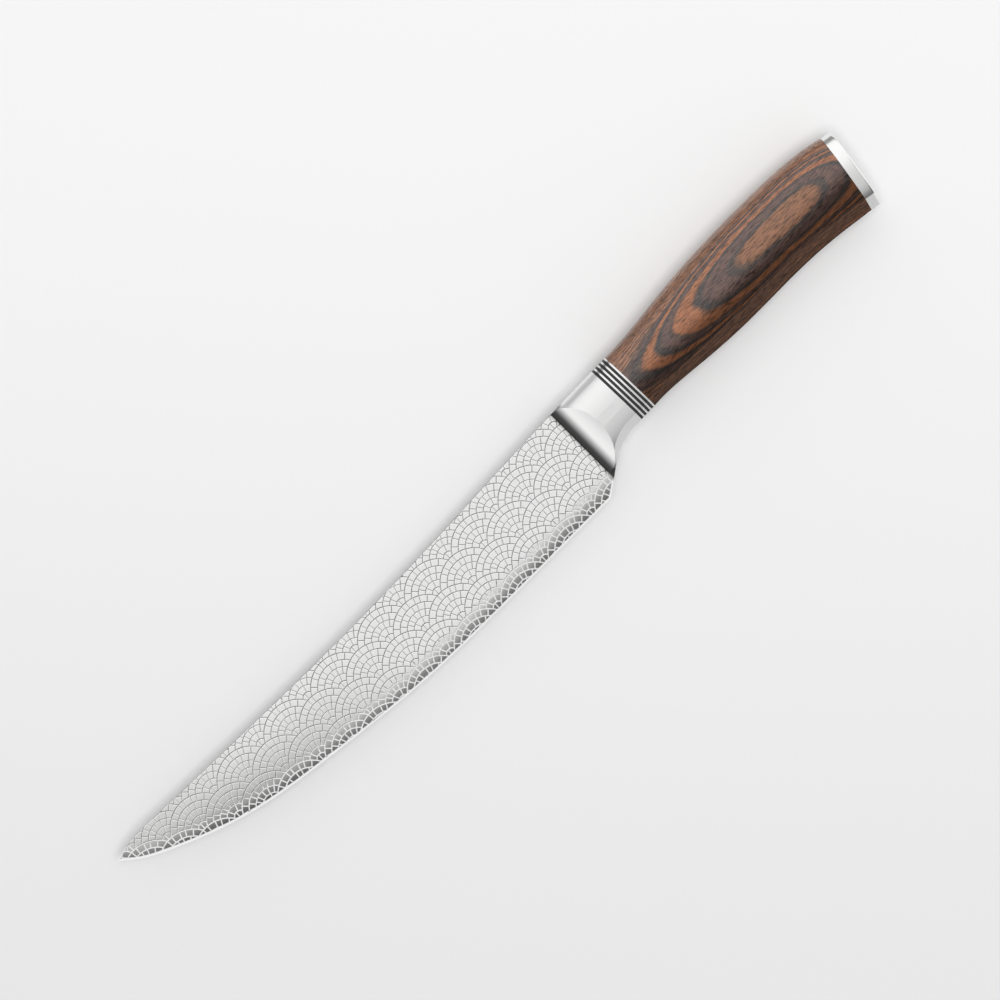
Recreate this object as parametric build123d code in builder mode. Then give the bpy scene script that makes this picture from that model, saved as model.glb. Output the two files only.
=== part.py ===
from build123d import *
from math import acos, asin, copysign, cos, radians, sin, tan
import os

os.makedirs("parts", exist_ok=True)

# Carving knife with a hidden tang, lying on its side. X runs along the knife towards the butt,
# Y towards the spine and Z up out of the cheek that faces the viewer. The origin is under the
# middle of the knife, on the surface that the swell of the handle lies on.

# Blade
blade_length = 200.0
blade_thickness = 2.5
tip_thickness = 1.5
edge_thickness = 0.12
edge_depth = 25.9
grind_width = 8.0
tip_grind_width = 5.5
honed_width = 0.5
honed_rise = 0.07
grind_sections = 13
grind_fade = 0.01
heel_angle = 36.0
tip_edge_angle = 42.0

# Spine from the bolster to the tip: shares of the blade's length, and of the spine's height
# over the knife's axis at the bolster
SPINE_SHARES = ((0.10, 0.90), (0.24, 0.71), (0.50, 0.525), (0.75, 0.645), (0.91, 0.79), (0.97, 0.76))
TIP_HEIGHT_SHARE = 0.54

# Cutting edge from the heel to the tip: shares of the blade's length, and of the edge's
# greatest depth under the knife's axis
EDGE_SHARES = ((0.2875, 1.0), (0.4645, 0.956), (0.6255, 0.819), (0.77, 0.6455), (0.8665, 0.422),
               (0.9305, 0.211), (0.979, 0.0))

# Tang, forged in one with the blade
tang_length = 52.0
tang_height = 11.0
tang_end_height = 7.0
tang_drop = 4.2

# Bolster
bolster_length = 18.9
bolster_thickness = 15.5
bolster_back = 7.23
bolster_belly = 14.95
bolster_foot = 9.2
bolster_lip = 0.08
roll_start = 0.3
roll_angle = 50.0
roll_turn = 40.0
roll_radius = 24.0
guard_radius = 22.7
guard_run = 2.0
crown_rise = 0.48
crown_drop = 4.66
facet_angle = 45.0
facet_steps = 30
back_round = 0.8

# Fullness of the crown: 1 is an ellipse, and less is nearer to a box
CROWN_FULLNESS_SHARE = 0.8

# Spacers
spacer_pairs = 4
black_spacer_thickness = 0.95
steel_spacer_thickness = 0.58
spacer_tilt = 1.5

# Handle, at its swell
handle_length = 97.2
handle_thickness = 19.0
handle_back = 11.25
handle_belly = 16.9
butt_tilt = -9.3

# Sections of the handle behind the spacers. Each row gives the share of the handle's length,
# then the shares of the swell's back, belly and thickness, the shares of the bolster's foot and
# crown drop, the share of the back's rounding, and the share of the butt's tilt
HANDLE_SHARES = (
    (0.207, 0.786, 0.932, 0.890, 0.90, 0.70, 1.2, 0.00),
    (0.405, 0.943, 1.000, 0.960, 0.78, 0.40, 1.7, 0.15),
    (0.670, 1.000, 1.000, 1.000, 0.72, 0.27, 2.0, 0.40),
    (0.868, 0.934, 1.077, 0.970, 0.72, 0.27, 1.9, 0.75),
    (1.000, 0.738, 1.176, 0.915, 0.76, 0.32, 1.6, 1.00),
)

# End cap
cap_thickness = 4.1
cap_rim_radius = 1.2

# Rod with its fork, washer and nut
rod_diameter = 5.0
rod_clearance = 0.4
rod_fork_depth = 8.0
rod_overhang = 1.5
rod_chamfer = 0.5
washer_diameter = 12.0
washer_thickness = 1.0
nut_diameter = 10.0
nut_thickness = 5.0
nut_slot_width = 1.6
nut_slot_depth = 1.4
counterbore_diameter = 13.0
counterbore_depth = 12.0

# Cap pins
pin_diameter = 2.5
pin_length = 9.0
pin_spacing = 20.0
pin_depth_in_cap = 2.2

# Film of solder or glue between fitted pieces, and one overrun for all that cuts right through
fit_clearance = 0.05
overrun = 12.0

# Worked out from the sizes above
blade_half = blade_thickness / 2
lip_half = blade_half + bolster_lip
spine_height = bolster_back - bolster_length * sin(radians(spacer_tilt))
spacer_stack = spacer_pairs * (black_spacer_thickness + steel_spacer_thickness)
handle_start = bolster_length + spacer_stack
handle_end = handle_start + handle_length
butt_slope = radians(butt_tilt)
butt_back = handle_back * HANDLE_SHARES[-1][1]
butt_reach = (
    handle_end
    + (cap_thickness - cap_rim_radius) * cos(butt_slope)
    - (butt_back - cap_rim_radius) * sin(butt_slope)
    + cap_rim_radius
)
datum = Plane(
    origin=(
        (blade_length - butt_reach) / 2,
        (edge_depth - handle_back) / 2,
        handle_thickness / 2,
    )
)


def station(along, tilt=0.0):
    """A plane across the knife, its x towards the spine and its y out of the upper cheek."""
    slope = radians(tilt)
    return Plane(
        origin=datum.from_local_coords((along, 0, 0)),
        x_dir=(-sin(slope), cos(slope), 0),
        z_dir=(cos(slope), sin(slope), 0),
    )


class GripSection:
    """One section of the grip: crowned flanks, a round back, and facets down to a flat foot."""

    def __init__(self, back, belly, thickness, rise, drop, foot, rounding):
        self.back = back
        self.belly = belly
        self.half = thickness / 2
        self.centre = (back + rise - belly - drop) / 2
        self.reach = (back + rise + belly + drop) / 2
        self.foot_half = foot / 2
        self.rounding = rounding

    def crown(self, angle):
        """A point of the crown, a fuller shape than an ellipse, by its angle from the back."""
        height = copysign(abs(cos(angle)) ** CROWN_FULLNESS_SHARE, cos(angle))
        width = sin(angle) ** CROWN_FULLNESS_SHARE
        return self.centre + self.reach * height, self.half * width

    def crown_angle(self, height):
        """Angle from the back at which the crown has this height over the axis."""
        share = (height - self.centre) / self.reach
        return acos(copysign(abs(share) ** (1 / CROWN_FULLNESS_SHARE), share))

    def flank(self, start, end, count=9):
        """Points along the crown between two heights over the axis, one behind the other."""
        first = self.crown_angle(start)
        last = self.crown_angle(end)
        return [self.crown(first + (last - first) * step / (count - 1)) for step in range(count)]

    def facet_top(self):
        """Height over the axis at which the facet from the foot meets the crown, by halving."""
        slope = tan(radians(facet_angle))
        low, high = -self.belly, self.centre
        for _ in range(facet_steps):
            height = (low + high) / 2
            crown_width = self.crown(self.crown_angle(height))[1]
            if self.foot_half + (height + self.belly) * slope < crown_width:
                low = height
            else:
                high = height
        return high

    def crown_end(self, half_width):
        """Lowest height over the axis at which the crown is still this wide."""
        angle = asin((half_width / self.half) ** (1 / CROWN_FULLNESS_SHARE))
        return self.centre - self.reach * cos(angle) ** CROWN_FULLNESS_SHARE

    def draw(self, faceted=True):
        """Draw the outline in the sketch that is open."""
        shoulder = self.back - self.rounding
        low = self.facet_top() if faceted else self.crown_end(lip_half)
        foot = -self.belly if faceted else low
        side = self.flank(shoulder, low)
        with BuildLine() as outline:
            Line((self.back, -lip_half), (self.back, lip_half))
            for sign in (1, -1):
                points = [(height, sign * width) for height, width in side]
                TangentArc((self.back, sign * lip_half), points[0], tangent=(0, sign))
                Spline(*points)
                if faceted:
                    Line(points[-1], (foot, sign * self.foot_half))
            bottom = self.foot_half if faceted else side[-1][1]
            Line((foot, bottom), (foot, -bottom))
        make_face(outline.edges())


front_section = GripSection(
    bolster_back, bolster_belly, bolster_thickness, crown_rise, crown_drop, bolster_foot, back_round
)


# Underside of the bolster: level at the spacers, then an arc down into the line of the heel
heel_slope = tan(radians(heel_angle))
guard_end = bolster_length - guard_run
guard_start = guard_end - guard_radius * sin(radians(heel_angle))
guard_depth = bolster_belly + guard_radius * (1 - cos(radians(heel_angle)))
heel_top = guard_depth + guard_start * heel_slope
heel_along = (heel_top - edge_depth) / heel_slope
heel_ahead = (-overrun, -heel_top - overrun * heel_slope)
back_slope = tan(radians(spacer_tilt))

# Outline of the blade, as points on the datum plane
blade_tip = (-blade_length, spine_height * TIP_HEIGHT_SHARE)
spine_points = [(0, spine_height)]
spine_points += [(-blade_length * along, spine_height * height) for along, height in SPINE_SHARES]
spine_points += [blade_tip]
edge_points = [(heel_along, -edge_depth)]
edge_points += [(-blade_length * along, -edge_depth * depth) for along, depth in EDGE_SHARES]
edge_points += [blade_tip]
heel_direction = (-1, 0)
tip_direction = (-cos(radians(tip_edge_angle)), sin(radians(tip_edge_angle)))
cheek_lean = (blade_thickness - tip_thickness) / 2 / blade_length


def cheek_half(along):
    """Half the blade's thickness over its flat cheeks."""
    return blade_half + cheek_lean * along


# Grinder for one side: what a convex grind takes off, lofted through planes across the edge
with BuildLine() as edge_line:
    Spline(*edge_points, tangents=(heel_direction, tip_direction))
edge_curve = datum.from_local_coords(edge_line.edge())
edge_half = edge_thickness / 2
grind_places = [(0, -overrun)]
grind_places += [(step / (grind_sections - 1), 0) for step in range(grind_sections)]
grind_places += [(1, overrun)]
with BuildPart() as grinder:
    for share, past_the_end in grind_places:
        forward = edge_curve % share
        place = edge_curve @ share + forward * past_the_end
        across = Plane(
            origin=place,
            x_dir=(forward.Y, -forward.X, 0),
            z_dir=(-forward.X, -forward.Y, 0),
        )
        width = grind_width + (tip_grind_width - grind_width) * share
        cheek = cheek_half(datum.to_local_coords(place).X)
        with BuildSketch(across):
            with BuildLine():
                honed = Line(
                    (-honed_width, edge_half - honed_rise), (honed_width, edge_half + honed_rise)
                )
                TangentArc((width, cheek + grind_fade), honed @ 1, tangent=(-1, 0))
                Polyline(
                    (width, cheek + grind_fade),
                    (width, cheek + overrun),
                    (-overrun, cheek + overrun),
                    (-overrun, edge_half - honed_rise),
                    honed @ 0,
                )
            make_face()
    loft()


# Blade with its tang
with BuildPart() as blade:
    with BuildSketch(datum):
        with BuildLine():
            Spline(*spine_points)
            Spline(*edge_points, tangents=(heel_direction, tip_direction))
            Polyline(edge_points[0], (0, -heel_top), spine_points[0])
        make_face()
    extrude(amount=blade_half, both=True)
    # Each cheek is flat and leans in a little towards the tip
    for side, kept in ((1, Keep.BOTTOM), (-1, Keep.TOP)):
        cheek = Plane(
            origin=datum.from_local_coords((0, 0, side * blade_half)),
            x_dir=(1, 0, side * cheek_lean),
            z_dir=(-side * cheek_lean, 0, 1),
        )
        split(bisect_by=cheek, keep=kept)
    add(grinder.part, mode=Mode.SUBTRACT)
    add(grinder.part.mirror(datum), mode=Mode.SUBTRACT)
    with BuildSketch(datum):
        with BuildLine():
            Polyline(
                (0, tang_height / 2 - tang_drop),
                (tang_length, tang_end_height / 2 - tang_drop),
                (tang_length, -tang_end_height / 2 - tang_drop),
                (0, -tang_height / 2 - tang_drop),
                close=True,
            )
        make_face()
    extrude(amount=blade_half, both=True)
blade.part.label = "blade"
export_step(blade.part, "parts/blade.step")


def tang_slot(clearance, mode=Mode.ADD):
    """Draw the slot for the tang in the sketch that is open."""
    with Locations((-tang_drop, 0)):
        Rectangle(tang_height + 2 * clearance, blade_thickness + 2 * clearance, mode=mode)


# Bolster: a slab with a faceted underside, crowned, rolled off in front and slotted for the tang
rear_plane = station(bolster_length, spacer_tilt)
with BuildPart() as bolster:
    with BuildSketch(datum):
        with BuildLine():
            heel = Line(heel_ahead, (guard_start, -guard_depth))
            guard = JernArc(heel @ 1, heel % 1, guard_radius, -heel_angle)
            level = Line(guard @ 1, (bolster_length + overrun, -bolster_belly))
            Polyline(
                level @ 1,
                (bolster_length + overrun, bolster_back + overrun),
                (-overrun, bolster_back + overrun),
                heel_ahead,
            )
        make_face()
    extrude(amount=bolster_thickness / 2, both=True)
    underside = [
        edge
        for edge in bolster.edges()
        if abs(abs(datum.to_local_coords(edge.center()).Z) - bolster_thickness / 2) < bolster_lip
        and datum.to_local_coords(edge.center()).Y < 0
        and abs((edge % 0.5).X) > abs((edge % 0.5).Y)
    ]
    chamfer(underside, (bolster_thickness - bolster_foot) / 2)
    with BuildSketch(rear_plane):
        front_section.draw(faceted=False)
    extrude(amount=-bolster_length - 2 * overrun, mode=Mode.INTERSECT)
    # Each cheek rolls off convexly down to the blade, which leaves a lens-shaped field
    with BuildSketch(Plane(origin=datum.origin, x_dir=(1, 0, 0), z_dir=(0, -1, 0))):
        for side in (1, -1):
            with BuildLine():
                roll = JernArc(
                    (roll_start, side * lip_half),
                    (cos(radians(roll_angle)), side * sin(radians(roll_angle))),
                    roll_radius,
                    -side * roll_turn,
                )
                Polyline(
                    roll @ 1,
                    (-overrun, (roll @ 1).Y),
                    (-overrun, side * lip_half),
                    roll @ 0,
                )
            make_face()
    extrude(amount=edge_depth + overrun, both=True, mode=Mode.SUBTRACT)
    # Thin web between the two rolls, down to the heel
    with BuildSketch(datum):
        with BuildLine():
            Polyline(
                heel_ahead,
                (guard_start, -guard_depth),
                (guard_start, spine_height + guard_start * back_slope),
                (-overrun, spine_height - overrun * back_slope),
                close=True,
            )
        make_face()
    extrude(amount=lip_half, both=True)
    # Cut square in front, against the heel of the blade, and along the spacers behind
    split(bisect_by=station(0), keep=Keep.TOP)
    split(bisect_by=rear_plane, keep=Keep.BOTTOM)
    with BuildSketch(station(0)):
        tang_slot(fit_clearance)
    extrude(amount=bolster_length + overrun, mode=Mode.SUBTRACT)
bolster.part.label = "bolster"
export_step(bolster.part, "parts/bolster.step")


# Spacers: black fibre and thin polished steel by turns, all with the bolster's outline
for pair in range(spacer_pairs):
    pair_start = pair * (black_spacer_thickness + steel_spacer_thickness)
    for name, start, thickness in (
        ("black_spacer", pair_start, black_spacer_thickness),
        ("steel_spacer", pair_start + black_spacer_thickness, steel_spacer_thickness),
    ):
        with BuildPart() as spacer:
            with BuildSketch(rear_plane.offset(start)):
                front_section.draw()
                tang_slot(fit_clearance, Mode.SUBTRACT)
            extrude(amount=thickness)
        spacer.part.label = f"{name}_{pair + 1}"
        export_step(spacer.part, f"parts/{name}_{pair + 1}.step")


# Handle: one block of pressed veneer, bored for the rod and slotted for the tang
def handle_section(row):
    """The plane and the outline of one row of the handle's table."""
    along, back, belly, thickness, foot, drop, rounding, tilt = row
    plane = station(
        handle_start + handle_length * along,
        spacer_tilt + (butt_tilt - spacer_tilt) * tilt,
    )
    section = GripSection(
        handle_back * back,
        handle_belly * belly,
        handle_thickness * thickness,
        crown_rise,
        crown_drop * drop,
        bolster_foot * foot,
        back_round * rounding,
    )
    return plane, section


def rod_station(along):
    """A plane across the rod, with its middle on the rod's axis."""
    return Plane(
        origin=datum.from_local_coords((along, -tang_drop, 0)), x_dir=(0, 1, 0), z_dir=(1, 0, 0)
    )


seat_along = handle_end - counterbore_depth
fork_along = tang_length - rod_fork_depth
butt_plane, butt_section = handle_section(HANDLE_SHARES[-1])
pin_middle = (butt_section.back - butt_section.belly) / 2
pin_places = [(pin_middle + side * pin_spacing / 2, 0) for side in (1, -1)]
with BuildPart() as handle:
    with BuildSketch(rear_plane.offset(spacer_stack)):
        front_section.draw()
    for row in HANDLE_SHARES:
        plane, section = handle_section(row)
        with BuildSketch(plane):
            section.draw()
    loft()
    with BuildSketch(station(handle_start - overrun)):
        tang_slot(rod_clearance)
    extrude(amount=tang_length - handle_start + overrun, mode=Mode.SUBTRACT)
    with BuildSketch(rod_station(fork_along - rod_clearance)):
        Circle(rod_diameter / 2 + rod_clearance)
    extrude(amount=seat_along - fork_along + overrun, mode=Mode.SUBTRACT)
    with BuildSketch(rod_station(seat_along)):
        Circle(counterbore_diameter / 2)
    extrude(amount=counterbore_depth + overrun, mode=Mode.SUBTRACT)
    with BuildSketch(butt_plane):
        with Locations(pin_places):
            Circle(pin_diameter / 2 + fit_clearance)
    extrude(amount=pin_depth_in_cap - pin_length - fit_clearance, mode=Mode.SUBTRACT)
handle.part.label = "handle"
export_step(handle.part, "parts/handle.step")


# Rod, forked over the end of the tang and welded there
with BuildPart() as tang_rod:
    with BuildSketch(rod_station(fork_along)):
        Circle(rod_diameter / 2)
    rod_reach = seat_along + washer_thickness + nut_thickness + rod_overhang
    extrude(amount=rod_reach - fork_along)
    with BuildSketch(station(fork_along - overrun)):
        tang_slot(fit_clearance)
    extrude(amount=rod_fork_depth + overrun + fit_clearance, mode=Mode.SUBTRACT)
    chamfer(tang_rod.faces().sort_by(Axis.X)[-1].edges(), rod_chamfer)
tang_rod.part.label = "tang_rod"
export_step(tang_rod.part, "parts/tang_rod.step")


# Washer on the floor of the counterbore
with BuildPart() as rod_washer:
    with BuildSketch(rod_station(seat_along)):
        Circle(washer_diameter / 2)
        Circle(rod_diameter / 2 + rod_clearance / 2, mode=Mode.SUBTRACT)
    extrude(amount=washer_thickness)
rod_washer.part.label = "rod_washer"
export_step(rod_washer.part, "parts/rod_washer.step")


# Round nut with a slot across its face for the driver
with BuildPart() as rod_nut:
    with BuildSketch(rod_station(seat_along + washer_thickness)):
        Circle(nut_diameter / 2)
        Circle(rod_diameter / 2 + fit_clearance, mode=Mode.SUBTRACT)
    extrude(amount=nut_thickness)
    with BuildSketch(rod_station(seat_along + washer_thickness + nut_thickness)):
        Rectangle(nut_diameter + overrun, nut_slot_width)
    extrude(amount=-nut_slot_depth, mode=Mode.SUBTRACT)
rod_nut.part.label = "rod_nut"
export_step(rod_nut.part, "parts/rod_nut.step")


# End cap, with blind holes for the pins and a rounded rim
with BuildPart() as end_cap:
    with BuildSketch(butt_plane):
        butt_section.draw()
    extrude(amount=cap_thickness)
    butt_face = end_cap.faces().sort_by(Axis(butt_plane.origin, butt_plane.z_dir))[-1]
    fillet(butt_face.edges(), cap_rim_radius)
    with BuildSketch(butt_plane):
        with Locations(pin_places):
            Circle(pin_diameter / 2 + fit_clearance)
    extrude(amount=pin_depth_in_cap + fit_clearance, mode=Mode.SUBTRACT)
end_cap.part.label = "end_cap"
export_step(end_cap.part, "parts/end_cap.step")


# Two dowel pins that key the cap to the wood
with BuildPart() as cap_pins:
    with BuildSketch(butt_plane.offset(pin_depth_in_cap)):
        with Locations(pin_places):
            Circle(pin_diameter / 2)
    extrude(amount=-pin_length)
cap_pins.part.label = "cap_pins"
export_step(cap_pins.part, "parts/cap_pins.step")
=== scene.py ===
# %% [markdown]
# # A carving knife, dressed around its CAD frame
#
# The CAD model already holds every solid of the knife at its real size: the blade with its tang,
# the bolster, eight spacers, the handle and the end cap. This lesson adds what a CAD solid does
# not carry: the raised stones that cover both cheeks of the blade, and the finish of each surface.
# The frame is loaded first, because every new piece takes its place from it.

import itertools
import math

import bpy
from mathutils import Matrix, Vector


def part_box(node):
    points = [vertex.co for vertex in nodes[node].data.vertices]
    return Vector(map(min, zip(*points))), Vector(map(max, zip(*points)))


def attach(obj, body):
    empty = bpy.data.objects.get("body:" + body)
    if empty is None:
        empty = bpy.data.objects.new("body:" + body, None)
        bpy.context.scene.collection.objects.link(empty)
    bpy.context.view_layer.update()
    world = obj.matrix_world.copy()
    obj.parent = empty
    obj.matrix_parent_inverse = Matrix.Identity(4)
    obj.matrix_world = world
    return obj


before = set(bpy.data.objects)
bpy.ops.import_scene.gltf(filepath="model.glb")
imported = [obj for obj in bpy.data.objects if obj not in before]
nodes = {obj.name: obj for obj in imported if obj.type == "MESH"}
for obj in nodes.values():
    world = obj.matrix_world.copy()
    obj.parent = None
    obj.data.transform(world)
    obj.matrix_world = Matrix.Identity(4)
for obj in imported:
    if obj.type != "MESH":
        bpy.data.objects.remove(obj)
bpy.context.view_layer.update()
MM = 0.001
bpy.ops.object.select_all(action="DESELECT")
print("nodes:", ", ".join(sorted(nodes)))

# %% [markdown]
# ## Places on the knife
#
# A few heights and lengths recur: the plane that halves the knife, the tip, and the front of the
# bolster, where the pattern of the blade stops. They are read from the boxes of the CAD nodes, so
# they stay right if the CAD model changes.

# %% Read the places from the frame
blade = nodes["blade"]
blade_low, blade_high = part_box("blade")
middle_z = (blade_low.z + blade_high.z) / 2
blade_half = (blade_high.z - blade_low.z) / 2
tip_x = blade_low.x
front_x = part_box("bolster")[0].x
print("blade from", round(tip_x / MM, 1), "to", round(front_x / MM, 1), "mm")

# %% [markdown]
# ## Camera
#
# The photograph looks straight down on the knife, which lies across the picture at 45 degrees.
# A long lens keeps the outlines free of perspective. The frame of the picture is as wide as the
# floor that it shows, so the focal length follows from the camera's height.

# %% Set up the camera
FRAME_WIDTH = 321.5 * MM
FRAME_CENTRE = (5.13 * MM, 6.19 * MM)
CAMERA_HEIGHT = 1600 * MM
CAMERA_REACH = 10000 * MM
KNIFE_TURN = math.radians(-45)

bpy.ops.object.camera_add(
    location=(*FRAME_CENTRE, CAMERA_HEIGHT), rotation=(0, 0, KNIFE_TURN)
)
camera = bpy.context.object
camera.data.lens = camera.data.sensor_width * (CAMERA_HEIGHT - middle_z) / FRAME_WIDTH
camera.data.clip_end = CAMERA_REACH
bpy.context.scene.camera = camera
print("focal length", round(camera.data.lens), "mm")

# %% [markdown]
# ## Shader maths as Python
#
# A material is a graph of nodes. Adding each node by hand hides the idea behind it, so a socket
# is wrapped in a small class that understands plus, minus, times and divide. An expression on
# such signals then adds its Math nodes by itself.


# %% A socket that can be used in sums
class Signal:
    """An output socket that can be used in Python expressions."""

    def __init__(self, wiring, socket):
        self.wiring = wiring
        self.socket = socket

    def math(self, operation, *others):
        values = dict(enumerate((self, *others)))
        return self.wiring.add("Math", {"operation": operation}, values)

    def __add__(self, other):
        return self.math("ADD", other)

    def __sub__(self, other):
        return self.math("SUBTRACT", other)

    def __mul__(self, other):
        return self.math("MULTIPLY", other)

    def __truediv__(self, other):
        return self.math("DIVIDE", other)

    def __pow__(self, other):
        return self.math("POWER", other)

    def __rsub__(self, other):
        return self.wiring.add("Math", {"operation": "SUBTRACT"}, {0: other, 1: self})

    __radd__ = __add__
    __rmul__ = __mul__

    def size(self):
        return self.math("ABSOLUTE")

    def step(self, start, end, low=0.0, high=1.0):
        """Goes smoothly from low to high while the signal goes from start to end."""
        return self.wiring.add(
            "MapRange",
            {"interpolation_type": "SMOOTHSTEP"},
            {"Value": self, "From Min": start, "From Max": end, "To Min": low, "To Max": high},
        )


print("sums on sockets ready")

# %% [markdown]
# ## A tree of nodes
#
# The other half is the tree in which the nodes stand. One method adds any kind of node with its
# settings and sockets. The rest are short names for the nodes that recur: ramps, mixes, noise and
# bump. A place on the knife is given in millimetres, so the numbers in the materials are too.

# %% A tree that adds nodes
BUMP_DISTANCE = 0.05 * MM


class Wiring:
    """Adds nodes to one tree and hands back their outputs as signals."""

    def __init__(self, tree):
        self.tree = tree
        tree.nodes.clear()

    def add(self, kind, settings=(), sockets=(), output=0):
        """Adds a node. A socket gets a link if its value is a signal, else the value itself."""
        node = self.tree.nodes.new("ShaderNode" + kind)
        for name, value in dict(settings).items():
            if name == "stops":
                set_stops(node.color_ramp, value)
            else:
                setattr(node, name, value)
        for name, value in dict(sockets).items():
            if isinstance(value, Signal):
                self.tree.links.new(value.socket, node.inputs[name])
            else:
                node.inputs[name].default_value = value
        return Signal(self, node.outputs[output]) if node.outputs else None

    def ramp(self, value, stops):
        """The colour of a ramp at a value from 0 to 1."""
        return self.add("ValToRGB", {"stops": stops}, {"Fac": value})

    def blend(self, factor, one, other, how="MIX"):
        """A colour between two colours. The sockets go by number, as their names recur."""
        settings = {"data_type": "RGBA", "blend_type": how}
        return self.add("Mix", settings, {0: factor, 6: one, 7: other}, output=2)

    def split(self, vector):
        """The three signals in a vector."""
        return [self.add("SeparateXYZ", (), {0: vector}, output=axis) for axis in range(3)]

    def place(self):
        """Object coordinates of the surface, in millimetres, as three signals."""
        return [part / MM for part in self.split(self.add("TexCoord", output="Object"))]

    def vector(self, x, y, z):
        """A vector from three signals, which also serves as a colour."""
        return self.add("CombineXYZ", (), {0: x, 1: y, 2: z})

    def noise(self, spot, scale, detail=2.0, roughness=0.5):
        """Cloudy noise, about 0.5 in the mean."""
        settings = {"Vector": spot, "Scale": scale, "Detail": detail, "Roughness": roughness}
        return self.add("TexNoise", (), settings)

    def bump(self, strength, height):
        """A shallow bump for a Normal socket."""
        settings = {"Strength": strength, "Distance": BUMP_DISTANCE, "Height": height}
        return self.add("Bump", (), settings)


def set_stops(ramp, stops):
    """Gives a colour ramp its stops, each a place and a grey or a colour."""
    while len(ramp.elements) < len(stops):
        ramp.elements.new(1.0)
    for element, (place, colour) in zip(ramp.elements, stops):
        element.position = place
        element.color = rgba(colour)


def rgba(colour):
    """A grey or a colour as the four numbers that a socket takes."""
    if isinstance(colour, (int, float)):
        return (colour, colour, colour, 1.0)
    return (*colour, 1.0)


print("node tree ready, bumps", round(BUMP_DISTANCE / MM, 3), "mm deep")

# %% [markdown]
# ## Colours and finishes
#
# Colours are written down as they look on screen, while a shader works with linear light, so each
# is converted. A finish is one material with one Principled shader, and a function for each says
# what feeds its sockets. The CAD nodes keep their slots: only the material in the slot changes.


# %% Make a finish and give it to CAD nodes
def shade(red, green, blue):
    """A colour seen on screen, given in 0 to 255, as linear light for a shader."""
    values = [channel / 255 for channel in (red, green, blue)]
    return tuple(v / 12.92 if v <= 0.04045 else ((v + 0.055) / 1.055) ** 2.4 for v in values)


def finish(name, build):
    """Makes a material. The build function gets its wiring and returns the shader's sockets."""
    material = bpy.data.materials.new(name)
    material.use_nodes = True
    wiring = Wiring(material.node_tree)
    surface = wiring.add("BsdfPrincipled", (), build(wiring))
    wiring.add("OutputMaterial", (), {"Surface": surface})
    return material


def wear(material, *names):
    """Gives CAD nodes their finish, in place of the CAD model's own."""
    for name in names:
        for slot in nodes[name].material_slots:
            slot.material = material


print("mid grey on screen is", round(shade(128, 128, 128)[0], 3), "in linear light")

# %% [markdown]
# ## Studio light
#
# Polished steel shows what surrounds it, so the surroundings make half of the picture. The knife
# lies between two long soft boxes: a bright one on the side of the spine, and a weaker one on the
# side of the edge. The dark slot beside the weaker one gives the dark streaks on the bolster and
# the cap. A bright card stands at either end of the knife, low down, and whitens the rolled front
# of the bolster. All of this is painted on the world by direction and shows in reflections only.
# Dull surfaces get an even light instead, and the camera sees a plain pale backdrop.

# %% Paint the studio on the world
# Brightness by the angle from straight up, in degrees, positive towards the spine
ACROSS_STOPS = (
    (-90, 0.6),
    (-68, 0.55),
    (-56, 0.16),
    (-35, 0.16),
    (-25, 0.50),
    (-14, 0.68),
    (-2, 0.7),
    (8, 1.08),
    (30, 1.14),
    (62, 1.14),
    (70, 0.25),
    (90, 0.25),
)
# Brightness by the angle from straight up, in degrees, positive towards the butt
ALONG_STOPS = ((-60, 1.0), (-40, 0.75), (-20, 0.75), (-8, 1.0))
END_CARD, END_START, END_FULL = 1.15, 0.75, 0.92
EVEN_LIGHT = 0.52
BACKDROP = 0.86


def angle_stops(stops):
    """Places angles from -90 to 90 degrees on a ramp from 0 to 1."""
    return [(angle / 180 + 0.5, grey) for angle, grey in stops]


world = bpy.data.worlds.new("studio")
bpy.context.scene.world = world
world.use_nodes = True
sky = Wiring(world.node_tree)
towards = sky.split(sky.add("TexCoord", output="Generated"))
across = towards[1].math("ARCTAN2", towards[2]) / math.pi + 0.5
along = towards[0].math("ARCTAN2", towards[2]) / math.pi + 0.5
across_light = sky.ramp(across, angle_stops(ACROSS_STOPS))
along_light = sky.ramp(along, angle_stops(ALONG_STOPS))
boxes = sky.blend(1.0, across_light, along_light, how="MULTIPLY")
# Two bright cards stand beyond the tip and the butt
cards = towards[0].size().step(END_START, END_FULL)
boxes = sky.blend(cards, boxes, rgba(END_CARD))
# Dull surfaces get an even light, as from a white tent, so the shadow is a soft halo
spread = sky.add("LightPath", output="Is Diffuse Ray")
seen = sky.add("LightPath", output="Is Camera Ray")
lit = sky.blend(spread, boxes, rgba(EVEN_LIGHT))
glow = sky.blend(seen, lit, rgba(BACKDROP))
sky.add("OutputWorld", (), {"Surface": sky.add("Background", (), {"Color": glow})})
print("studio painted with", len(world.node_tree.nodes), "nodes")

# %% [markdown]
# ## Floor
#
# The photograph has a plain pale ground that turns a little darker towards its lower edge. A plane
# far larger than the picture does for it, so that its border never shows. The Standard view shows
# greys as they are, without a film curve.

# %% Lay the floor
FLOOR_SIZE = 4000 * MM
# Greys of the floor at the lower and the upper end of the picture, and how far out in millimetres
FLOOR_DARK, FLOOR_PALE, FLOOR_REACH = 0.815, 0.955, 200

bpy.ops.mesh.primitive_plane_add(size=FLOOR_SIZE)
floor = bpy.context.object
floor.name = "floor"


def floor_paint(wiring):
    """Pale card, a little darker towards the lower end of the picture."""
    x, y, z = wiring.place()
    up_the_picture = (x + y) * math.cos(KNIFE_TURN)
    grey = up_the_picture.step(-FLOOR_REACH, FLOOR_REACH, FLOOR_DARK, FLOOR_PALE)
    return {"Base Color": wiring.vector(grey, grey, grey), "Roughness": 0.9, "IOR": 1.3}


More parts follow.
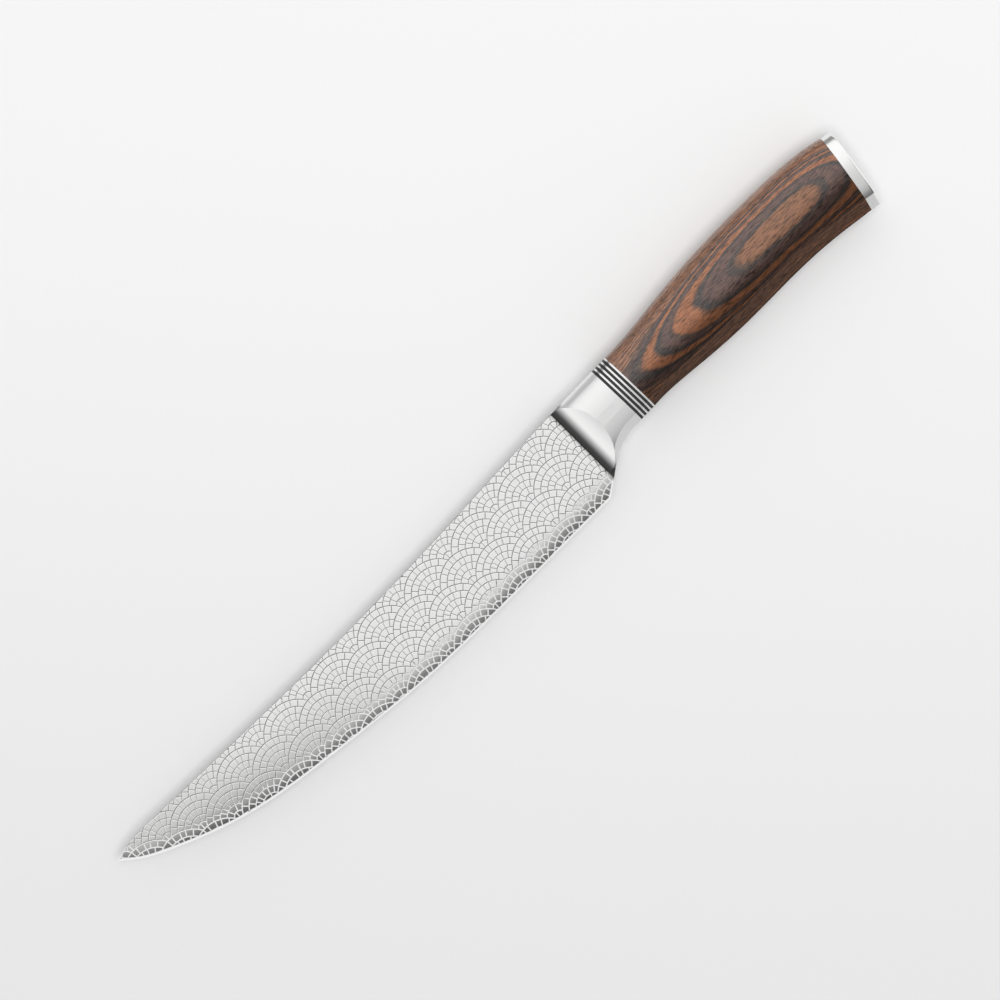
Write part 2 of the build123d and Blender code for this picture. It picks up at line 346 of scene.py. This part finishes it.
floor.data.materials.append(finish("floor card", floor_paint))
bpy.context.scene.view_settings.view_transform = "Standard"
print("floor laid,", round(FLOOR_SIZE / MM), "mm wide")

# %% [markdown]
# ## Outline of the blade
#
# The stones of the pattern are cut off by the spine and by the cutting edge, so both lines are
# needed. Rays shot at the CAD blade in its middle plane, one from the side of the spine and one
# from the side of the edge, find them at even steps along the knife.

# %% Find the spine and the edge with rays
OUTLINE_STEP = 2.0 * MM
# Share of a step that keeps the first and the last ray on the blade
END_INSET = 0.02
steps = round((front_x - tip_x) / OUTLINE_STEP)
shares = [(n + END_INSET) / (steps + 2 * END_INSET) for n in range(steps + 1)]
outline_x = [tip_x + (front_x - tip_x) * share for share in shares]


def outline_height(x, side):
    """Height of the blade's outline: side is 1 for the spine and -1 for the cutting edge."""
    # The ray starts a metre away, well outside the knife
    start = Vector((x, side, middle_z))
    _, spot, _, _ = blade.ray_cast(start, (0, -side, 0))
    return spot.y


spine_y = [outline_height(x, 1) for x in outline_x]
edge_y = [outline_height(x, -1) for x in outline_x]
# The grind follows the cutting edge, and runs straight on where the heel rises
grind_y = list(itertools.accumulate(edge_y, min))


def along_outline(heights, x):
    """Height of an outline at any x, and its slope there."""
    place = (x - outline_x[0]) / (outline_x[-1] - outline_x[0]) * steps
    n = min(max(int(place), 0), steps - 1)
    slope = (heights[n + 1] - heights[n]) / (outline_x[n + 1] - outline_x[n])
    return heights[n] + (x - outline_x[n]) * slope, slope


print("spine", round(max(spine_y) / MM, 1), "edge", round(min(edge_y) / MM, 1), "mm")

# %% [markdown]
# ## Surface of the cheek
#
# Each cheek is flat and leans in towards the tip. Near the edge it rounds over into the grind,
# an arc that ends at the thin honed line. The stones have to lie on that surface, so its height
# is worked out from the distance to the edge, as the CAD model does.

# %% Height of the cheek over the middle plane
GRIND_WIDTH = 8.0 * MM
TIP_GRIND_WIDTH = 5.5 * MM
TIP_HALF = 0.75 * MM
HONED_WIDTH = 0.5 * MM
HONED_HALF = 0.13 * MM


def cheek(x, y):
    """Height of the cheek's surface over the middle plane."""
    share = (front_x - x) / (front_x - tip_x)
    flat = blade_half + (TIP_HALF - blade_half) * share
    width = GRIND_WIDTH + (TIP_GRIND_WIDTH - GRIND_WIDTH) * share
    height, slope = along_outline(grind_y, x)
    distance = (y - height) * math.cos(math.atan(slope))
    into = min(max(width - distance, 0), width - HONED_WIDTH)
    drop = flat - HONED_HALF
    radius = ((width - HONED_WIDTH) ** 2 + drop**2) / (2 * drop)
    return flat - radius + math.sqrt(radius**2 - into**2)


print("cheek in front of the bolster:", round(cheek(front_x, 0) / MM, 3), "mm")

# %% [markdown]
# ## One scale of the pattern
#
# The pattern is an old one for paving: stones laid in fans, each fan a disc that the next two
# discs overlap. A fan has five rings of stones round its centre. No primitive has that outline, so
# the faces of one fan are computed. A ring ends where it meets the circle of the neighbouring
# disc, and its stones are parted by joints. The joints sit at listed angles, because on the real
# blade every fan has the same slightly uneven joints.

# %% Measure the fan
COLUMN = 10.64 * MM
ROW = 11.25 * MM
RING = 2.25 * MM
DISC = 11.1 * MM
# Angles of the joints in degrees from the crown, ring by ring from the outside to the heart
JOINTS = (
    (-46, -31, -20, -5.5, 4.5, 19.5, 30, 44),
    (-41, -25.5, -12, 8, 21, 38),
    (-35, -20.5, -1.6, 17.5, 37),
    (-24, 19),
    (-5,),
)
neighbour = Vector((COLUMN, -ROW / 2))
neighbour_angle = math.atan2(neighbour.x, neighbour.y)


def polar(radius, angle):
    """A point at a radius and an angle from the crown of the fan."""
    return Vector((radius * math.sin(angle), radius * math.cos(angle)))


def end_angle(radius):
    """The angle at which a ring of this radius meets the neighbouring disc."""
    gap = neighbour.length
    cosine = (radius**2 + gap**2 - DISC**2) / (2 * radius * gap)
    return neighbour_angle - math.acos(cosine)


print("outer ring ends at", round(math.degrees(end_angle(DISC))), "degrees from the crown")

# %% [markdown]
# ## One stone
#
# A stone has an arc above, an arc below and a straight joint on either side. At the end of a ring
# there is no joint, so there it follows the neighbouring disc through a point halfway down. The
# heart of the fan is too narrow for rings, and its two stones are drawn corner by corner.

# %% Draw a stone
ARC_STEP = math.radians(9)


def stone(inner, outer, left, right):
    """Corners of one stone. A side without a joint follows the neighbouring disc."""
    radii = [inner + (outer - inner) * share for share in (0, 0.5, 1)]
    start = [(-end_angle(r) if left is None else left) for r in radii]
    end = [(end_angle(r) if right is None else right) for r in radii]
    count = max(1, round((end[2] - start[2]) / ARC_STEP))
    arc = [start[2] + (end[2] - start[2]) * n / count for n in range(count + 1)]
    corners = [polar(outer, angle) for angle in arc]
    if right is None:
        corners.append(polar(radii[1], end[1]))
    count = max(1, round(count * inner / outer))
    arc = [end[0] + (start[0] - end[0]) * n / count for n in range(count + 1)]
    corners += [polar(inner, angle) for angle in arc]
    if left is None:
        corners.append(polar(radii[1], start[1]))
    return corners


def heart_stones(outer, joint):
    """The two stones in the heart of the fan, down to the crown of the next disc."""
    foot = DISC - ROW
    foot_x = neighbour.x - math.sqrt(DISC**2 - (foot - neighbour.y) ** 2)
    middle_x = outer * math.sin(joint)
    side = polar(outer / 2, end_angle(outer / 2))
    corner = polar(outer, end_angle(outer))
    crown = polar(outer, end_angle(outer) / 2)
    right = [(middle_x, outer), crown, corner, side, (foot_x, foot), (middle_x, foot)]
    mirrored = [(-x, y) for x, y in (crown, corner, side)]
    left = [(middle_x, outer), (middle_x, foot), (-foot_x, foot), *reversed(mirrored)]
    return [right, left]


crown_stone = stone(DISC - RING, DISC, *map(math.radians, JOINTS[0][3:5]))
print("corners of the stone at the crown:", len(crown_stone))

# %% [markdown]
# ## The whole fan
#
# Ring by ring, each two joints that follow each other hold one stone between them. The first and
# the last stone of a ring have a joint on one side only.


# %% Collect the stones of a fan
def fan_stones():
    """All stones of one fan, as lists of corners round its centre."""
    stones = []
    for ring, joints in enumerate(JOINTS[:-1]):
        outer = DISC - ring * RING
        sides = [None, *map(math.radians, joints), None]
        for left, right in zip(sides, sides[1:]):
            stones.append(stone(outer - RING, outer, left, right))
    heart = DISC - (len(JOINTS) - 1) * RING
    return stones + heart_stones(heart, math.radians(JOINTS[-1][0]))


fan = fan_stones()
print("stones in a fan:", len(fan))

# %% [markdown]
# ## The sheet of stones
#
# Two fans, half a row apart, make the cell that repeats. It is one mesh of flat faces, built from
# the corners worked out above. Array modifiers then lay it over the whole blade and a little past
# its ends, so that the cuts can give it the outline of the blade.

# %% Lay two fans and repeat them
# Where the crown of one fan lies in the photograph
FAN_PLACE = (-93.8 * MM, -1.2 * MM)


def fan_cell():
    """Two fans, half a row apart, as one flat mesh at the tip end of the blade."""
    columns_back = math.ceil((FAN_PLACE[0] - tip_x) / (2 * COLUMN))
    rows_down = math.ceil((FAN_PLACE[1] - min(edge_y)) / ROW)
    x = FAN_PLACE[0] - columns_back * 2 * COLUMN
    y = FAN_PLACE[1] - rows_down * ROW
    points, faces = [], []
    for shift in (Vector((x, y)), Vector((x + COLUMN, y - ROW / 2))):
        for corners in fan:
            faces.append([*range(len(points), len(points) + len(corners))][::-1])
            points += [(*(Vector(corner) + shift), 0) for corner in corners]
    mesh = bpy.data.meshes.new("upper_cheek_relief")
    mesh.from_pydata(points, [], faces)
    sheet = bpy.data.objects.new("upper_cheek_relief", mesh)
    bpy.context.collection.objects.link(sheet)
    return sheet


def work_on(piece):
    """Makes one piece the only selected and active one."""
    bpy.ops.object.select_all(action="DESELECT")
    piece.select_set(True)
    bpy.context.view_layer.objects.active = piece


def repeat(piece, step, count):
    """Repeats a piece with an Array modifier and applies it."""
    array = piece.modifiers.new("array", "ARRAY")
    array.use_relative_offset = False
    array.use_constant_offset = True
    array.constant_offset_displace = step
    array.count = count
    bpy.ops.object.modifier_apply(modifier=array.name)


sheet = fan_cell()
work_on(sheet)
repeat(sheet, (2 * COLUMN, 0, 0), math.ceil((front_x - tip_x) / (2 * COLUMN)) + 2)
repeat(sheet, (0, ROW, 0), math.ceil((max(spine_y) - min(edge_y)) / ROW) + 2)
print("stones before the cuts:", len(sheet.data.polygons))

# %% [markdown]
# ## Cut to the blade
#
# The sheet is cut off span by span along the spine and the edge with bisect, which is exact and
# quick while the stones are still flat faces. A narrow honed strip stays bare along the edge, and
# it is wider at the tip. Slivers that the cuts leave over are thrown away.

# %% Cut the sheet along spine and edge
HONED_MARGIN = 0.42 * MM
TIP_MARGIN = 0.25 * MM
SPINE_MARGIN = 0.04 * MM
FRONT_MARGIN = 0.15 * MM
SMALLEST_STONE = 0.25 * MM**2


def pick_faces(piece, wanted):
    """In edit mode, selects the faces that a test wants and says whether there are any."""
    bpy.ops.mesh.select_all(action="DESELECT")
    bpy.ops.object.mode_set(mode="OBJECT")
    chosen = [bool(wanted(face)) for face in piece.data.polygons]
    piece.data.polygons.foreach_set("select", chosen)
    bpy.ops.object.mode_set(mode="EDIT")
    return any(chosen)


def cut_along(piece, heights, side, margin):
    """Cuts the sheet off along the spine (side 1) or the edge (side -1)."""
    # Stones that lie further inside than this are left alone, as no cut can reach them
    reach = RING * 2
    for n in range(steps):
        x0, x1 = outline_x[n], outline_x[n + 1]
        start, end = Vector((x0, heights[n], 0)), Vector((x1, heights[n + 1], 0))
        outward = Vector((start.y - end.y, end.x - start.x, 0)).normalized() * side
        first, last = (n == 0), (n == steps - 1)

        def in_span(face):
            spot = face.center
            beyond = (spot - start).dot(outward)
            return (first or spot.x >= x0) and (last or spot.x < x1) and beyond > -reach

        if pick_faces(piece, in_span):
            inset = margin + TIP_MARGIN * (1 - n / steps) ** 3 * (side < 0)
            bpy.ops.mesh.bisect(
                plane_co=start - outward * inset, plane_no=outward, clear_outer=True
            )


bpy.ops.object.mode_set(mode="EDIT")
bpy.ops.mesh.select_mode(type="FACE")
cut_along(sheet, spine_y, 1, SPINE_MARGIN)
cut_along(sheet, edge_y, -1, HONED_MARGIN)
bpy.ops.mesh.select_all(action="SELECT")
bpy.ops.mesh.bisect(
    plane_co=(front_x - FRONT_MARGIN, 0, 0), plane_no=(1, 0, 0), clear_outer=True
)
if pick_faces(sheet, lambda face: face.area < SMALLEST_STONE or face.center.x < tip_x):
    bpy.ops.mesh.delete(type="FACE")
bpy.ops.mesh.select_all(action="SELECT")
bpy.ops.mesh.delete_loose()
bpy.ops.object.mode_set(mode="OBJECT")
print("stones on a cheek:", len(sheet.data.polygons))

# %% [markdown]
# ## Blade steel
#
# The steel looks different on the flat cheek and in the ground zone along the edge. It is also
# darker in a thin line at the bolster, and that line is painted shade. One material could be
# painted by hand, but both places can be worked out. The cheek is flat before the ground zone and
# drops towards the edge in it, so the height of a spot says how far it lies in that zone. All
# three finishes of the blade use this measure.

# %% Measure the ground zone in a shader
FULL_DROP = (blade_half - HONED_HALF) / MM
# How far the painted shade at the bolster reaches along the blade, in millimetres
BOLSTER_SHADE_REACH = 1.4


def ground_share(wiring, x, z):
    """How far into the ground zone a spot lies, from 0 at its start to 1 at the honed line."""
    share = (front_x / MM - x) / ((front_x - tip_x) / MM)
    flat = share * ((TIP_HALF - blade_half) / MM) + blade_half / MM
    drop = (flat - (z - middle_z / MM).size()) / FULL_DROP
    return drop.math("MAXIMUM", 0.0) ** 0.5


def bolster_shade(x, depth):
    """Painted shade: a dark line where the blade meets the bolster."""
    return x.step(front_x / MM - BOLSTER_SHADE_REACH, front_x / MM, 1.0, depth)


print("the cheek drops", round(FULL_DROP, 2), "mm over the ground zone")

# %% [markdown]
# ## Tops of the stones
#
# The tops are fine satin steel: a metal of medium roughness with faint scratches along the blade,
# which a noise stretched along X gives. In the ground zone they lean away from the bright side and
# turn dark, and painted shade in their colour darkens them further. Low on the blade towards the
# tip the real tops are darker too, and that part is helped along with painted shade in their
# colour.

# %% Make the satin of the tops
# Painted shade leaves the stones of the ground zone this share of their brightness at the honed
# line
GROUND_SHARE_LEFT = 0.34
# Where painted shade darkens the tops, in millimetres, and how much: first low on the blade, then
# all
LOW_START, LOW_END = 12, -14
LOW_FRONT, LOW_TIP, LOW_SHADE = -40, -140, 0.58
TIP_FRONT, TIP_END, TIP_SHADE = -95, -165, 0.25


def stone_steel(wiring):
    """Satin tops of the stones, darker with painted shade in the ground zone and low down towards
    the tip.
    """
    x, y, z = wiring.place()
    patch = wiring.noise(wiring.vector(x, y, z), 0.35, detail=1.0)
    scratches = wiring.noise(wiring.vector(x * 0.3, y * 6, z * 6), 1.0, detail=2.0)
    grey = 0.94 + patch * 0.08 + scratches * 0.04
    # Painted shade: the colour darkens through the ground zone, on top of the darker light that
    # the tops reflect there
    grey = grey * ground_share(wiring, x, z).step(0.05, 1.0, 1.0, GROUND_SHARE_LEFT)
    # Painted shade low on the blade towards the tip, over the whole tip, and in a line at the
    # bolster
    low_shade = y.step(LOW_START, LOW_END) * x.step(LOW_FRONT, LOW_TIP) * LOW_SHADE
    tip_shade = x.step(TIP_FRONT, TIP_END) * TIP_SHADE
    grey = grey * (1 - low_shade - tip_shade) * bolster_shade(x, 0.5)
    return {
        "Base Color": wiring.vector(grey, grey, grey * 0.985),
        "Metallic": 1.0,
        "Roughness": 0.33 + patch * 0.08,
        "Normal": wiring.bump(0.05, scratches),
    }


stone_finish = finish("satin stones", stone_steel)
print("tops keep", GROUND_SHARE_LEFT, "of their brightness at the honed line")

# %% [markdown]
# ## Sides and grooves
#
# The sloping sides of the stones are smoother than the tops, so those that face the spine glint
# and those that face the edge go dark. The steel in the grooves was etched. On the flat cheek it
# is duller than the stones. In the ground zone it is frosted, and its colour there is also made
# white as painted light, so it stands out white. Frost scatters light like paint does, so its
# metallic value goes to 0 and it stays white at any lean.

# %% Make the sides and the etched steel
FROST_START, FROST_FULL = 0.02, 0.35


def side_steel(wiring):
    """Sloping sides of the stones, smoother than their tops, so they glint or go dark."""
    x, y, z = wiring.place()
    patch = wiring.noise(wiring.vector(x, y, z), 0.8, detail=2.0)
    frost = ground_share(wiring, x, z).step(FROST_START, FROST_FULL) * 0.4
    # Painted shade darkens the sides in a line at the bolster
    grey = (0.86 + patch * 0.08) * bolster_shade(x, 0.12)
    return {
        "Base Color": wiring.vector(grey, grey, grey),
        "Metallic": 1.0 - frost,
        "Roughness": 0.22 + patch * 0.06 + frost * 0.3,
    }


def etched_steel(wiring):
    """Etched steel in the grooves, dull on the flat, frosted and painted white as painted light in
    the ground zone.
    """
    x, y, z = wiring.place()
    patch = wiring.noise(wiring.vector(x, y, z), 0.8, detail=2.0)
    frost = ground_share(wiring, x, z).step(FROST_START, FROST_FULL)
    # Painted light: through the ground zone the grooves turn white on top of their frost. Painted
    # shade darkens them in a line at the bolster
    grey = (0.24 + frost * 0.62 + patch * 0.06) * bolster_shade(x, 0.08)
    return {
        "Base Color": wiring.vector(grey, grey, grey),
        "Metallic": 1.0 - frost,
        "Roughness": 0.48 + patch * 0.1,
    }


side_finish = finish("stone sides", side_steel)
wear(finish("etched blade steel", etched_steel), "blade")
sheet.data.materials.append(stone_finish)
sheet.data.materials.append(side_finish)
print("finishes of the sheet:", ", ".join(sheet.data.materials.keys()))

# %% [markdown]
# ## From flat faces to raised stones
#
# Each face is inset by half a groove and the rim is thrown away, which leaves the grooves open.
# The stones are then extruded out of the sheet, and a second inset with a height gives each one
# its sloping sides. Only the tops stay selected after that, so the inverse selection, the sides,
# gets its own finish in one step.

# %% Raise the stones
GROOVE_HALF = 0.05 * MM
FOOT_DEPTH = 0.03 * MM
SLOPE_WIDTH = 0.17 * MM
RISE = 0.065 * MM

work_on(sheet)
bpy.ops.object.mode_set(mode="EDIT")
bpy.ops.mesh.select_all(action="SELECT")
bpy.ops.mesh.inset(thickness=GROOVE_HALF, use_individual=True)
bpy.ops.mesh.select_all(action="INVERT")
bpy.ops.mesh.delete(type="FACE")
bpy.ops.mesh.select_all(action="SELECT")
bpy.ops.mesh.extrude_region_move(TRANSFORM_OT_translate={"value": (0, 0, FOOT_DEPTH)})
bpy.ops.mesh.inset(thickness=SLOPE_WIDTH, depth=RISE, use_individual=True)
bpy.ops.mesh.select_all(action="INVERT")
sheet.active_material_index = list(sheet.data.materials).index(side_finish)
bpy.ops.object.material_slot_assign()
bpy.ops.object.mode_set(mode="OBJECT")
print("triangles in the sheet:", sum(len(face.vertices) - 2 for face in sheet.data.polygons))

# %% [markdown]
# ## On to both cheeks
#
# So far the sheet lies flat. Every point is now raised by the height of the cheek under it, which
# bends the stones over the ground zone without changing their outline. The other cheek gets a
# mirrored copy. A mirror turns a mesh inside out, so its normals are worked out again.

# %% Lay the stones on the cheeks
for point in sheet.data.vertices:
    point.co.z += cheek(point.co.x, point.co.y) - FOOT_DEPTH
other_sheet = sheet.copy()
other_sheet.data = sheet.data.copy()
other_sheet.name = "lower_cheek_relief"
bpy.context.collection.objects.link(other_sheet)
for point in other_sheet.data.vertices:
    point.co.z = middle_z - point.co.z
for point in sheet.data.vertices:
    point.co.z += middle_z
for piece in (sheet, other_sheet):
    work_on(piece)
    bpy.ops.object.mode_set(mode="EDIT")
    bpy.ops.mesh.select_all(action="SELECT")
    bpy.ops.mesh.normals_make_consistent(inside=False)
    bpy.ops.object.mode_set(mode="OBJECT")
    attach(piece, "root")
print("relief laid on both cheeks")

# %% [markdown]
# ## Steel of bolster, spacers and cap
#
# The cast steel parts are polished, then brushed very lightly. The brushing shows as a faint
# streak along the knife, so a noise stretched along X gives a shallow bump. The foot of the
# bolster, where it rolls down to the blade, is dark in the photograph. The studio alone made it
# too pale, so painted shade in the colour darkens it.

# %% Make the steel of the fittings
# Painted shade darkens the foot of the bolster. It fades between two heights over the middle
# plane, and between two distances from its front, all in millimetres
FOOT_SHADE_LOW, FOOT_SHADE_HIGH = 2.2, 5.7
FOOT_SHADE_NEAR, FOOT_SHADE_FAR = 3.0, 5.0
FOOT_SHADE_DEPTH = 0.93


def polished_steel(base, roughness, streak, shaded_foot=False):
    """The build function of a polished steel, streaked along the knife, with painted shade on its
    foot if asked.
    """

    def build(wiring):
        x, y, z = wiring.place()
        streaks = wiring.noise(wiring.vector(x * 0.25, y * 5, z * 5), 1.0, detail=3.0)
        cloud = wiring.noise(wiring.vector(x, y, z), 0.15, detail=2.0)
        grey = base - 0.02 + cloud * 0.03 + streaks * 0.02
        # Painted shade on the foot of the bolster, where it rolls down to the blade
        if shaded_foot:
            low = (z - middle_z / MM).size().step(FOOT_SHADE_LOW, FOOT_SHADE_HIGH, 1.0, 0.0)
            far, near = front_x / MM + FOOT_SHADE_FAR, front_x / MM + FOOT_SHADE_NEAR
            grey = grey * (1 - low * x.step(far, near, 0.0, FOOT_SHADE_DEPTH))
        return {
            "Base Color": wiring.vector(grey, grey, grey * 0.995),
            "Metallic": 1.0,
            "Roughness": roughness + cloud * 0.05,
            "Normal": wiring.bump(streak, streaks),
        }

    return build


ring_names = [name for name in nodes if name.startswith("steel_spacer")]
hidden_names = ("tang_rod", "rod_washer", "rod_nut", "cap_pins")
wear(finish("bolster steel", polished_steel(0.88, 0.36, 0.35, shaded_foot=True)), "bolster")
wear(finish("cap steel", polished_steel(0.86, 0.18, 0.03)), "end_cap")
wear(finish("spacer steel", polished_steel(0.84, 0.20, 0.03)), *ring_names)
wear(finish("turned steel", polished_steel(0.55, 0.38, 0.15)), *hidden_names)
print("steel rings:", len(ring_names))

# %% [markdown]
# ## Black fibre
#
# The black spacers are vulcanised fibre, a dense card that is ground flush with the steel. It is
# nearly black and only half matt, with a faint fleck.


# %% Make the fibre of the black spacers
def black_fibre(wiring):
    """Vulcanised fibre, ground flush with the steel."""
    x, y, z = wiring.place()
    fleck = wiring.noise(wiring.vector(x * 2, y * 2, z * 2), 1.0, detail=3.0)
    grey = 0.008 + fleck * 0.014
    return {"Base Color": wiring.vector(grey, grey, grey), "Roughness": 0.35 + fleck * 0.15}


fibre_names = [name for name in nodes if name.startswith("black_spacer")]
wear(finish("black fibre", black_fibre), *fibre_names)
print("black rings:", len(fibre_names))

# %% [markdown]
# ## Stack of veneers
#
# The handle is pressed from thin dyed veneers that lie parallel to the cheeks of the blade. Its
# oval section cuts through them, so they show as rings round the middle of the swell, like the
# height lines on a map. Rings could be painted on, but here the colour follows from the height
# over the middle plane, so they are right from every side. A gentle warp stands for the uneven
# pressing.

# %% Stack the veneers by height
# The stack spans this height over the middle plane, in millimetres
LAYER_TOP = 10.0
PURPLE = shade(92, 60, 51)
ORANGE = shade(168, 99, 52)
EYE = shade(146, 92, 54)
GLUE = shade(34, 26, 22)
# Places in the stack, from 0 at the middle plane to 1 at its top
LAYER_STOPS = (
    (0.700, PURPLE),
    (0.765, PURPLE),
    (0.772, GLUE),
    (0.784, GLUE),
    (0.790, ORANGE),
    (0.806, ORANGE),
    (0.812, GLUE),
    (0.820, GLUE),
    (0.826, PURPLE),
    (0.838, PURPLE),
    (0.843, GLUE),
    (0.848, ORANGE),
    (0.878, ORANGE),
    (0.886, GLUE),
    (0.894, GLUE),
    (0.902, PURPLE),
    (0.926, PURPLE),
    (0.931, GLUE),
    (0.937, GLUE),
    (0.942, EYE),
    (1.000, EYE),
)
# Below these places in the stack the flanks are too steep to show single veneers
FLANK_FULL, FLANK_END = 0.745, 0.765
FLANK_STOPS = (
    (0.32, shade(30, 19, 15)),
    (0.40, shade(128, 84, 60)),
    (0.47, shade(190, 124, 80)),
    (0.53, shade(34, 21, 16)),
    (0.60, shade(134, 92, 68)),
    (0.68, shade(204, 126, 76)),
)
# The stack leans about a line along the handle, dips towards the butt and is a little wavy
VENEER_TILT, TILT_Y = 0.035, 4.75
DIP_START, DIP_END, DIP = 123.0, 156.0, 0.35
WAVE, RIPPLE = 0.16, 0.05


def veneer_figure(wiring, x, y, z):
    """Dyed veneers in layers, cut through by the oval of the handle."""
    height = (z - middle_z / MM).size()
    wave = wiring.noise(wiring.vector(x * 0.06, y * 0.25, z * 0.2), 1.0, detail=3.0) - 0.5
    ripple = wiring.noise(wiring.vector(x * 0.5, y * 2.5, z * 2.5), 1.0, detail=2.0) - 0.5
    dip = x.step(DIP_START, DIP_END, 0.0, DIP)
    level = height + (y - TILT_Y) * VENEER_TILT + dip + wave * WAVE + ripple * RIPPLE
    veneers = wiring.ramp(level / LAYER_TOP, LAYER_STOPS)
    # Steep flanks cut many veneers, so they show as fine lines
    line = wiring.noise(wiring.vector(x * 0.01, 0.0, level * 3.2), 1.0, detail=2.0)
    flank = wiring.ramp(line, FLANK_STOPS)
    return wiring.blend((level / LAYER_TOP).step(FLANK_FULL, FLANK_END), flank, veneers)


print("stops in the stack:", len(LAYER_STOPS))

# %% [markdown]
# ## Grain and varnish
#
# Pores and fibres run along the knife, so their noise is stretched along X. A satin varnish lies
# over the wood as a coat and gives the upper half its grey sheen. Along the belly the coat is
# mostly left off, and the wood there is darkened in its colour as painted shade.

# %% Make the veneer wood
DARK_FIBRE = shade(44, 30, 25)
PALE_FIBRE = shade(158, 118, 90)
PORE = shade(24, 18, 15)
BELLY_SHADE = shade(14, 10, 8)
# The painted shade of the belly begins and ends at these heights across the handle, in millimetres
BELLY_START, BELLY_END, BELLY_DEPTH = 5.2, -1.5, 0.7
VARNISH_IOR = 1.88


def veneer(wiring):
    """Veneers with their grain and painted shade along the belly, under a varnish that is mostly
    left off there.
    """
    x, y, z = wiring.place()
    figure = veneer_figure(wiring, x, y, z)
    fibre = wiring.noise(wiring.vector(x * 0.28, y * 3.2, z * 3.2), 1.0, detail=3.0, roughness=0.6)
    pores = wiring.noise(wiring.vector(x * 0.35, y * 3.6, z * 3.6), 1.0, detail=1.0)
    pores = pores.step(0.54, 0.62)
    shaded = wiring.blend(fibre.step(0.48, 0.60) * 0.5, figure, rgba(DARK_FIBRE))
    lit = wiring.blend(fibre.step(0.46, 0.36) * 0.3, shaded, rgba(PALE_FIBRE))
    colour = wiring.blend(pores * 0.6, lit, rgba(PORE))
    # Painted shade: the wood along the belly is darkened, and the coat is mostly left off there
    shaded_belly = y.step(BELLY_START, BELLY_END)
    colour = wiring.blend(shaded_belly * BELLY_DEPTH, colour, rgba(BELLY_SHADE))
    return {
        "Base Color": colour,
        "Roughness": 0.50 + fibre * 0.16,
        "Specular IOR Level": 0.2,
        "Coat Weight": 1 - shaded_belly * 0.9 - pores * 0.35,
        "Coat Roughness": 0.34,
        "Coat IOR": VARNISH_IOR,
        "Normal": wiring.bump(0.25, fibre * 0.5 - pores * 0.5),
    }


wear(finish("pressed veneer", veneer), "handle")
print("handle finished in", nodes["handle"].material_slots[0].material.name)

# %% [markdown]
# ## Lamp
#
# One soft lamp hangs high over the knife and a little to the side of the edge, so its shadow falls
# under the knife and only just shows beside the spine. It is left out of reflections, because the
# soft boxes of the studio already make those.

# %% Add the lamp
LAMP_REACH = 2500 * MM
LAMP_SIZE = 1200 * MM
LAMP_LEAN = math.radians(5)
LAMP_POWER = 30.0

bpy.ops.object.light_add(
    type="AREA",
    location=(0, -LAMP_REACH * math.sin(LAMP_LEAN), LAMP_REACH * math.cos(LAMP_LEAN)),
    rotation=(LAMP_LEAN, 0, 0),
)
lamp = bpy.context.object
lamp.name = "soft lamp"
lamp.visible_glossy = False
lamp.data.shape = "SQUARE"
lamp.data.size = LAMP_SIZE
lamp.data.energy = LAMP_POWER

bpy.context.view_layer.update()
